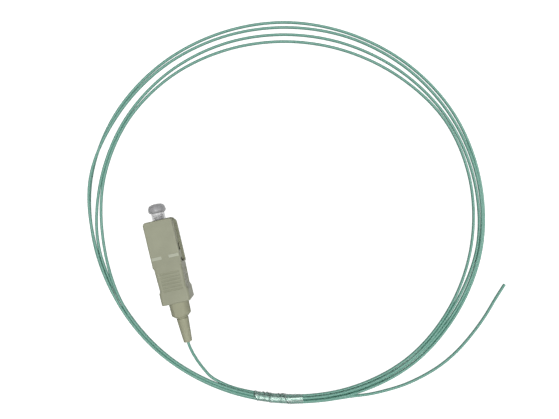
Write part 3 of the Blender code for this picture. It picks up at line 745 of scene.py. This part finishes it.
def make_film(path, look, painted_shade_edge_look):
    """A strip of film wound three times round the bundle, each turn lapping over the last."""
    angles = []
    for point in path:
        bearing = math.degrees(math.atan2(point.y / MM - RING_CENTRE[1], point.x / MM - RING_CENTRE[0]))
        angle = bearing - WRAP_BEARING
        while angles and angle < angles[-1] - 180.0:
            angle += 360.0
        angles.append(angle if angles else (angle + 180.0) % 360.0 - 180.0)
    joined = next(k for k, angle in enumerate(angles) if angle > -30.0 and path[k].z < 0.7 * MM)
    ring = path[joined:]
    spreads = [math.dist(RING_CENTRE, (point.x / MM, point.y / MM)) - RING_RADIUS for point in ring]
    heights = [point.z / MM for point in ring]
    inner_radius = FIBRE_DIAMETER / 2 + FILM_CLEARANCE
    per_degree = RING_RADIUS * math.radians(1.0)
    full = (FILM_STOP - FILM_START) * per_degree
    pitch = (full - FILM_OVERLAP) / FILM_TURNS
    width = pitch + FILM_OVERLAP
    rows = []
    steps = FILM_TURNS * FILM_POINTS_AROUND
    cache = {}
    for step in range(steps + 1):
        row = []
        turn = step / FILM_POINTS_AROUND
        for k in range(FILM_POINTS_ACROSS + 1):
            over = k / FILM_POINTS_ACROSS
            along = pitch * (turn - 0.5) + width * over
            along = min(max(along, 0.0), full)
            angle = FILM_START + along / per_degree
            key = round(angle, 1)
            if key not in cache:
                centres = strands_at(key, angles[joined:], spreads, heights)
                cache[key] = hull_outline(centres, inner_radius, FILM_POINTS_AROUND)
            outline = cache[key]
            index = step % FILM_POINTS_AROUND
            spread, height = outline[index]
            before, after = outline[index - 1 if index else -2], outline[index + 1]
            tangent = after - before
            normal = np.array((-tangent[1], tangent[0])) / (np.linalg.norm(tangent) + 1e-9)
            centre = outline.mean(axis=0)
            if normal @ (outline[index] - centre) < 0:
                normal = -normal
            edge = max(0.0, 1.0 - over * width / (FILM_OVERLAP + FILM_LIFTED_PAST_OVERLAP))
            crease = noise.noise(Vector((along * 1.1, spread * 1.3, height * 2.0)) * 1.4)
            fine = noise.noise(Vector((along * 2.6 + 9.0, spread * 2.0, height * 3.0)) * 1.5)
            inward = max(0.0, -normal[0]) * min(1.0, height / 0.8)
            slack = FILM_SLACK * inward * (0.45 + 0.8 * crease)
            lift = FILM_THICKNESS * 1.3 * (1.0 if edge > 0 else 0.0) + FILM_LIFT * edge**3
            wrinkle = (FILM_SMOOTH_WRINKLE + FILM_INNER_WRINKLE * inward) * (crease + 0.6 * fine + 0.8)
            out = lift + max(0.0, slack) + wrinkle
            height = max(FILM_LOWEST, height + normal[1] * out)
            row.append(on_ring(angle, spread + normal[0] * out, height))
        rows.append(row)
    count = len(rows[0])
    verts = [point for row in rows for point in row]
    faces = []
    for first in range(len(rows) - 1):
        for k in range(count - 1):
            faces.append((
                first * count + k, first * count + k + 1,
                (first + 1) * count + k + 1, (first + 1) * count + k,
            ))
    film = finish_mesh("film_wrap", verts, faces, sharp=60.0)
    thick = film.modifiers.new("thickness", "SOLIDIFY")
    thick.thickness = FILM_THICKNESS * MM
    thick.offset = 1.0
    film.data.materials.append(look)
    film.data.materials.append(painted_shade_edge_look)
    # Faces along the lifted edge of each turn take the dark edge film: painted shade
    for number, polygon in enumerate(film.data.polygons):
        polygon.material_index = 1 if number % (count - 1) == 0 else 0
    return film


# The housing


def smooth_step(value, low, high):
    """Nothing below low and one above high, with a soft rise between them."""
    t = np.clip((value - low) / (high - low), 0.0, 1.0)
    return t * t * (3 - 2 * t)


def corner_inset(distance, radius):
    """How far a rounded corner draws a side in, at a distance from the end that it rounds."""
    if distance >= radius:
        return 0.0
    return radius - math.sqrt(radius**2 - (radius - distance) ** 2)


def housing_half_width(back, front_corner=FRONT_CORNER):
    half = HOUSING_WIDTH / 2
    width = float(np.interp(
        back,
        (WAIST_START, WAIST_START + WAIST_SLOPE, WAIST_STOP, WAIST_STOP + FLARE_LENGTH),
        (half, half - WAIST_START_DEPTH, half - WAIST_DEPTH, half),
    ))
    width -= corner_inset(back, front_corner) + corner_inset(HOUSING_LENGTH - back, BACK_CORNER)
    return max(width, half - HOUSING_WALL + FRONT_RIM)


def housing_half_height(back):
    return HOUSING_HEIGHT / 2 - corner_inset(min(back, HOUSING_LENGTH - back), HOUSING_EDGE)


def edge_radius(back):
    """The radius of the housing's long edges, which is larger on its grip and collar."""
    return float(np.interp(back, (WAIST_START, WAIST_START + WAIST_SLOPE), (HOUSING_EDGE, GRIP_EDGE)))


def front_edge(across, up, on_side):
    """How far behind the front a line of the skin starts, in the side recess and at the lower corners."""
    if on_side and abs(up) <= RECESS_HALF_HEIGHT:
        return RECESS_SET_BACK
    reach = abs(across) - HOUSING_WIDTH / 2 + LOWER_FRONT_CORNER
    if up > 0 or reach <= 0:
        return 0.0
    return LOWER_FRONT_CORNER - math.sqrt(LOWER_FRONT_CORNER**2 - reach**2)


def ripple(back, count):
    """How deep in one of so many grip ripples a station lies, from nothing to one."""
    deepest = 0.0
    for number in range(count):
        off = abs(back - RIPPLE_FIRST - number * RIPPLE_PITCH) / RIPPLE_HALF_WIDTH
        if off < 1:
            deepest = max(deepest, 0.5 + 0.5 * math.cos(math.pi * off))
    return deepest


def within(value, low, high, soft=STEP):
    """One inside a span and nothing outside it, with soft ends."""
    return float(smooth_step(value, low - soft, low) * (1 - smooth_step(value, high, high + soft)))


def flat_ripples(across, back):
    """How far the grip ripples of the top and bottom faces go in at a point."""
    reach = 1 - smooth_step(abs(across), RIPPLE_REACH - 0.3, RIPPLE_REACH + 0.1)
    return RIPPLE_DEPTH * ripple(back, RIPPLE_COUNT) * float(reach)


def top_relief(across, back):
    """How far the top face stands above the plain housing at a point, with its two pale marks."""
    mark = within(back, MARK_START, MARK_STOP) * within(abs(across), MARK_INNER, MARK_OUTER)
    return MARK_HEIGHT * mark - flat_ripples(across, back)


def bottom_relief(across, back):
    """How far the bottom face stands below the plain housing at a point, with its key."""
    key = within(back, KEY_START, KEY_STOP) * within(abs(across), -1.0, KEY_HALF_WIDTH)
    return KEY_HEIGHT * key - flat_ripples(across, back)


def side_relief(up, back):
    """How far a side stands out from the plain housing at a point, with its recess and window's edge."""
    reach = 1 - smooth_step(abs(up), SIDE_RIPPLE_REACH - 0.15, SIDE_RIPPLE_REACH + 0.1)
    relief = -SIDE_RIPPLE_DEPTH * ripple(back, SIDE_RIPPLE_COUNT) * float(reach)
    recess = 1 - smooth_step(back, RECESS_LENGTH, RECESS_LENGTH + RECESS_RAMP)
    relief -= RECESS_DEPTH * float(within(abs(up), -1.0, RECESS_HALF_HEIGHT) * recess)
    edge_back = min(abs(back - WINDOW_START), abs(back - WINDOW_STOP))
    edge_up = abs(abs(up) - WINDOW_HALF_HEIGHT)
    inside = WINDOW_START - STEP < back < WINDOW_STOP + STEP and abs(up) < WINDOW_HALF_HEIGHT + STEP
    if inside and min(edge_back, edge_up) < STEP / 2:
        relief -= WINDOW_EDGE / 2
    return relief


def spread_both_ways(values):
    """A list of distances from the middle turned into positions on both sides of it, in order."""
    return sorted({-value for value in values} | set(values))


def station_list():
    """Distances behind the front at which the housing's section is drawn."""
    marks = [0.0, 0.03, 0.08, 0.15, 0.25, 0.35, 0.5, 0.7, 1.0]
    marks += [KEY_START - STEP, KEY_START, KEY_STOP, KEY_STOP + STEP]
    marks += list(np.arange(1.5, WINDOW_START, 0.5))
    marks += [WINDOW_START - WINDOW_EDGE, WINDOW_START, WINDOW_START + STEP]
    marks += list(np.arange(WINDOW_START + 0.5, WINDOW_STOP, 0.5))
    for edge in (MARK_START, MARK_STOP):
        marks += [edge - STEP, edge - STEP / 2, edge, edge + STEP / 2, edge + STEP]
    marks += [RECESS_LENGTH, RECESS_LENGTH + 0.05, RECESS_LENGTH + 0.1, RECESS_LENGTH + RECESS_RAMP]
    marks += [WINDOW_STOP - STEP, WINDOW_STOP, WINDOW_STOP + WINDOW_EDGE]
    marks += [WAIST_START, WAIST_START + 0.25, WAIST_START + WAIST_SLOPE, 15.0]
    last_ripple = RIPPLE_FIRST + (RIPPLE_COUNT - 1) * RIPPLE_PITCH
    marks += list(np.arange(RIPPLE_FIRST - 0.5, last_ripple + 0.5, 0.07))
    flare_stop = WAIST_STOP + FLARE_LENGTH
    marks += [WAIST_STOP, WAIST_STOP + 0.3, WAIST_STOP + 0.6, flare_stop]
    marks += [flare_stop + 0.5 + 0.8 * k for k in range(4)]
    marks += [HOUSING_LENGTH - back for back in (0.6, 0.4, 0.3, 0.2, 0.12, 0.05, 0.0)]
    ordered = sorted({round(float(mark), 3) for mark in marks})
    kept = [ordered[0]]
    for mark in ordered[1:]:
        if mark - kept[-1] > CLOSEST_STATIONS:
            kept.append(mark)
    return kept


SIDE_LINES = spread_both_ways((
    0.0, 0.6, 1.2, WINDOW_HALF_HEIGHT, WINDOW_HALF_HEIGHT + WINDOW_EDGE,
    2.05, 2.15, 2.25, 2.35, 2.6,
    RECESS_HALF_HEIGHT, RECESS_HALF_HEIGHT + STEP / 2, RECESS_HALF_HEIGHT + STEP, 3.1,
))
TOP_LINES = spread_both_ways((
    0.0, 0.4, 0.8, KEY_HALF_WIDTH - 0.1, KEY_HALF_WIDTH, KEY_HALF_WIDTH + STEP,
    MARK_INNER - STEP, MARK_INNER, 1.8, 2.3, 2.7, 2.8, 2.9, 3.0, 3.1, 3.2, 3.6, 3.9,
))
OUTER_FLAT_UP = HOUSING_HEIGHT / 2 - HOUSING_EDGE
OUTER_FLAT_ACROSS = HOUSING_WIDTH / 2 - HOUSING_EDGE
KEPT_UP = RECESS_HALF_HEIGHT - 0.2
KEPT_ACROSS = 3.3
CORNER_STEPS = 5


def section(back, inner):
    """The housing's section at one station, as (across, along, up) from the right side round."""
    if inner:
        half_width = HOUSING_WIDTH / 2 - HOUSING_WALL
        half_height = HOUSING_HEIGHT / 2 - HOUSING_WALL
        corner = HOUSING_INNER_EDGE
    else:
        half_width = housing_half_width(back)
        half_height = housing_half_height(back)
        corner = edge_radius(back)
    lower_half_width = half_width
    if not inner:
        lower_half_width = min(half_width, housing_half_width(back, LOWER_FRONT_CORNER))
    flat_up = half_height - corner
    flat_across = half_width - corner

    def fitted(value, keep, drawn_flat, flat):
        """A line's place, kept as it is near the middle and drawn in beyond that to fit the flat."""
        size = float(np.interp(abs(value), (0.0, keep, drawn_flat), (0.0, min(keep, flat), flat)))
        return math.copysign(size, value)

    def up_place(value):
        return fitted(value, KEPT_UP, OUTER_FLAT_UP, flat_up)

    def across_place(value):
        return fitted(value, KEPT_ACROSS, OUTER_FLAT_ACROSS, flat_across)

    def corner_points(sign_across, sign_up, start_angle):
        middle = flat_across if sign_up > 0 else lower_half_width - corner
        found = []
        for step in range(CORNER_STEPS + 1):
            angle = math.radians(start_angle + 90.0 * step / CORNER_STEPS)
            across = sign_across * middle + corner * math.cos(angle)
            found.append(flat_point(across, sign_up * flat_up + corner * math.sin(angle)))
        return found

    def placed(across, up, start):
        along = -(start + back * (1 - start)) if back < 1 else -back
        return across, along, up

    def side_point(sign, up):
        width = half_width
        if not inner:
            if up > -RECESS_HALF_HEIGHT - STEP / 4:
                width = half_width + side_relief(up, back)
            else:
                width = lower_half_width
            width = max(width, HOUSING_WIDTH / 2 - HOUSING_WALL + STEP)
        return placed(sign * width, up_place(up), front_edge(width, up, True))

    def flat_point(across, up):
        return placed(across, up, front_edge(across, up, False))

    points = [side_point(1, up) for up in SIDE_LINES]
    points += corner_points(1, 1, 0.0)
    for across in TOP_LINES[::-1]:
        relief = 0.0 if inner else top_relief(across_place(across), back)
        points.append(flat_point(across_place(across), half_height + relief))
    points += corner_points(-1, 1, 90.0)
    points += [side_point(-1, up) for up in SIDE_LINES[::-1]]
    points += corner_points(-1, -1, 180.0)
    for across in TOP_LINES:
        relief = 0.0 if inner else bottom_relief(across_place(across), back)
        points.append(flat_point(across_place(across), -half_height - relief))
    points += corner_points(1, -1, 270.0)
    return points


def make_housing(plastic, pale, recess_painted_light):
    """The sliding housing: one skin over its outside and inside, with a window in each narrow side."""
    stations = station_list()
    window = [back for back in stations if WINDOW_START <= back <= WINDOW_STOP]
    coarse = [back for back in (0.0, 0.5, 2.0, 5.0) if back < WINDOW_START]
    inside = coarse + window + [16.0, 20.0, 24.0, HOUSING_LENGTH]
    rings = [[on_plug(*point) for point in section(back, False)] for back in stations]
    rings += [[on_plug(*point) for point in section(back, True)] for back in inside[::-1]]
    verts, faces = stitch(rings, closed=True)
    count = len(rings[0])
    inner_ring = {back: len(stations) + len(inside) - 1 - k for k, back in enumerate(inside)}
    outer_ring = {back: k for k, back in enumerate(stations)}
    lines = len(SIDE_LINES)
    low = SIDE_LINES.index(-WINDOW_HALF_HEIGHT)
    high = SIDE_LINES.index(WINDOW_HALF_HEIGHT)
    left_start = lines + 2 * (CORNER_STEPS + 1) + len(TOP_LINES)
    cuts = ((low, high), (left_start + lines - 1 - high, left_start + lines - 1 - low))
    gone = set()
    walls = []
    for start, stop in cuts:
        for first, second in zip(window, window[1:]):
            for line in range(start, stop):
                gone.add((outer_ring[first], line))
                gone.add((inner_ring[second], line))
            for line in (start, stop):
                walls.append((
                    outer_ring[first] * count + line, outer_ring[second] * count + line,
                    inner_ring[second] * count + line, inner_ring[first] * count + line,
                ))
        for line in range(start, stop):
            for back in (window[0], window[-1]):
                walls.append((
                    outer_ring[back] * count + line, outer_ring[back] * count + line + 1,
                    inner_ring[back] * count + line + 1, inner_ring[back] * count + line,
                ))
    kept = [face for number, face in enumerate(faces) if (number // count, number % count) not in gone]
    used = sorted({index for face in kept + walls for index in face})
    renumber = {old: new for new, old in enumerate(used)}
    kept = [tuple(renumber[index] for index in face) for face in kept + walls]
    housing = finish_mesh("sliding_housing", [verts[index] for index in used], kept, sharp=50.0)
    housing.data.materials.append(plastic)
    housing.data.materials.append(pale)
    housing.data.materials.append(recess_painted_light)
    recess_face = HOUSING_WIDTH / 2 - RECESS_DEPTH
    to_plug = Matrix((Vector((1.0, 0.0, 0.0)), FORWARD, UP))
    for polygon in housing.data.polygons:
        across, along, up = (to_plug @ (polygon.center - PLUG_FRONT)) / MM
        on_mark = MARK_START - STEP < -along < MARK_STOP + STEP
        on_mark = on_mark and MARK_INNER - STEP < abs(across) < MARK_OUTER + STEP
        if on_mark and up > HOUSING_HEIGHT / 2 - 0.02:
            polygon.material_index = 1
        # The side recess floor takes the lighter recess beige: painted light
        in_recess = -along < RECESS_LENGTH and abs(up) < RECESS_HALF_HEIGHT
        if in_recess and -0.17 < abs(across) - recess_face < 0.03:
            polygon.material_index = 2
    return housing


# Boot, dust cap and spring


def make_boot(rubber):
    profile = (
        (BOOT_SOCKET_RADIUS, BOOT_FRONT, 0.1),
        (BOOT_RADIUS, BOOT_FRONT, 0.2),
        (BOOT_BASE_END_RADIUS, BOOT_BASE_BACK + BOOT_CHAMFER, 0.25),
        (BOOT_TAIL_START_RADIUS + 0.1, BOOT_BASE_BACK, 0.1),
        (BOOT_GROOVE_RADIUS, BOOT_BASE_BACK - 0.05, 0.04),
        (BOOT_GROOVE_RADIUS, BOOT_BASE_BACK - 0.3, 0.04),
        (BOOT_TAIL_START_RADIUS, BOOT_BASE_BACK - 0.4, 0.1),
        (BOOT_TAIL_END_RADIUS, BOOT_BACK, 0.2),
        (FIBRE_HOLE_RADIUS, BOOT_BACK, 0.08),
        (FIBRE_HOLE_RADIUS, BOOT_SOCKET_BACK, 0.0),
        (BOOT_SOCKET_RADIUS, BOOT_SOCKET_BACK, 0.0),
    )

    def flatten(across, along, up, angle):
        past = abs(up) - BOOT_FLAT + BOOT_FLAT_ROUNDING
        if along > BOOT_BASE_BACK + 0.2 and past > 0:
            rounding = BOOT_FLAT_ROUNDING * math.tanh(past / BOOT_FLAT_REACH)
            size = BOOT_FLAT - BOOT_FLAT_ROUNDING + rounding
            up = math.copysign(size, up)
        return across, up

    boot = turned("strain_relief_boot", profile, 96, flatten)
    boot.data.materials.append(rubber)
    return boot


def make_dust_cap(cloudy):
    """The cap, with a domed head, and a ribbed stem that goes into the plug."""
    profile = (
        (0.0, CAP_FRONT, 0.0),
        (CAP_HEAD_RADIUS - 1.8, CAP_FRONT - 0.03, 0.3),
        (CAP_HEAD_RADIUS - 0.94, CAP_FRONT - 0.24, 0.25),
        (CAP_HEAD_RADIUS - 0.4, CAP_FRONT - 0.58, 0.25),
        (CAP_HEAD_RADIUS - 0.15, CAP_FRONT - 1.1, 0.25),
        (CAP_HEAD_RADIUS, CAP_HEAD_BACK + 0.9, 0.25),
        (CAP_HEAD_RADIUS - 0.04, CAP_HEAD_BACK + 0.5, 0.15),
        (CAP_HEAD_RADIUS - 0.3, CAP_HEAD_BACK + 0.1, 0.2),
        (CAP_STEM_RADIUS + 0.03, CAP_HEAD_BACK - 0.15, 0.15),
        (CAP_STEM_RADIUS + 0.03, CAP_STEM_BACK, 0.1),
        (CAP_BORE_RADIUS, CAP_STEM_BACK, 0.1),
        (CAP_BORE_RADIUS, CAP_BORE_FRONT, 0.1),
        (0.0, CAP_BORE_FRONT, 0.0),
    )

    def rib(across, along, up, angle):
        radius = math.hypot(across, up)
        if along < CAP_HEAD_BACK and radius > CAP_BORE_RADIUS + 0.1:
            dip = (0.5 + 0.5 * math.cos(CAP_RIBS * angle)) ** 2
            fade = min(1.0, (CAP_HEAD_BACK - along) / 0.3)
            share = 1 - CAP_RIB_DEPTH * dip * fade / radius
            return across * share, up * share
        return across, up

    cap = turned("cloudy_dust_cap", profile, 120, rib, on_axis_ends=True)
    cap.data.materials.append(cloudy)
    return cap


def make_spring(metal):
    per_turn = 36
    count = SPRING_TURNS * per_turn
    travel = SPRING_LENGTH - SPRING_WIRE
    path = []
    for step in range(count + 1):
        angle = 2 * math.pi * step / per_turn
        along = SPRING_FRONT - SPRING_WIRE / 2 - travel * step / count
        path.append(on_plug(SPRING_RADIUS * math.cos(angle), along, SPRING_RADIUS * math.sin(angle)))
    rings = tube_rings(path, SPRING_WIRE / 2 * MM, 10)
    verts, faces = stitch(rings)
    faces.append(tuple(range(10))[::-1])
    faces.append(tuple(range(len(verts) - 10, len(verts))))
    spring = finish_mesh("plunger_spring", verts, faces)
    spring.data.materials.append(metal)
    return spring


def dress(node, look):
    """Give a solid that is shown as it is a finish of its own."""
    mesh = frame["nodes"][node].data
    mesh.materials.clear()
    mesh.materials.append(look)


# The whole object


make_camera()
make_floor()
make_backdrop()
make_studio()

jacket = fibre_jacket("aqua_jacket", AQUA, AQUA_DEEP)
fibre, fibre_path, fibre_length = make_fibre(jacket, glass_core("glass_core"))
# Dark film for the lifted edges of the wrap, standing in for the shade there: painted shade
painted_shade_edge_film = clear_film("film_edge_painted_shade", FILM_EDGE_PAINTED_SHADE, 0.35, 0.6)
# The film's finish carries the painted highlight band
film = make_film(fibre_path, clear_film("clear_film", FILM_TINT, 0.08, 0.25, painted_highlight=FILM_PAINTED_HIGHLIGHT), painted_shade_edge_film)
beige = moulded_plastic("beige_housing", BEIGE, 0.42, grain=0.002, gloss=0.17)
pale = moulded_plastic("pale_mark", PALE, 0.5, tone=0.03)
# The recess floor gets a lighter copy of the housing's beige: painted light
recess_painted_light = moulded_plastic("beige_recess_painted_light", shade(BEIGE, 1.5), 0.6, gloss=0.1)
housing = make_housing(beige, pale, recess_painted_light)
boot = make_boot(moulded_plastic("beige_boot", BOOT_BEIGE, 0.6, grain=0.006, gloss=0.12))
stem_end, head_start = (on_plug(0, CAP_HEAD_BACK + along, 0).y for along in (-0.4, 0.2))
cap = make_dust_cap(cloudy_plastic("cloudy_cap", CAP_GREY, 0.3, stem_end, head_start))
nickel = plated_metal("nickel", NICKEL, 0.25)
spring = make_spring(nickel)
# The plug frame gets a lighter copy of the housing's beige, where it shows in the windows: painted light
dress("plug_frame", moulded_plastic("beige_frame_painted_light", shade(BEIGE, 1.3), 0.42))
dress("ferrule", zirconia("white_zirconia", ZIRCONIA_WHITE))
dress("ferrule_flange", nickel)
dress("stop_ring", nickel)

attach(fibre, "plug")
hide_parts("fiber_lead", "fiber_coil", "fiber_tail")
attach(film, "plug")
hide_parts("wrap_tie")
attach(housing, "housing")
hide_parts("outer_housing")
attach(boot, "plug")
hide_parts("boot")
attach(cap, "cap")
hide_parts("dust_cap")
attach(spring, "plug")
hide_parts("ferrule_spring")
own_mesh(spring)
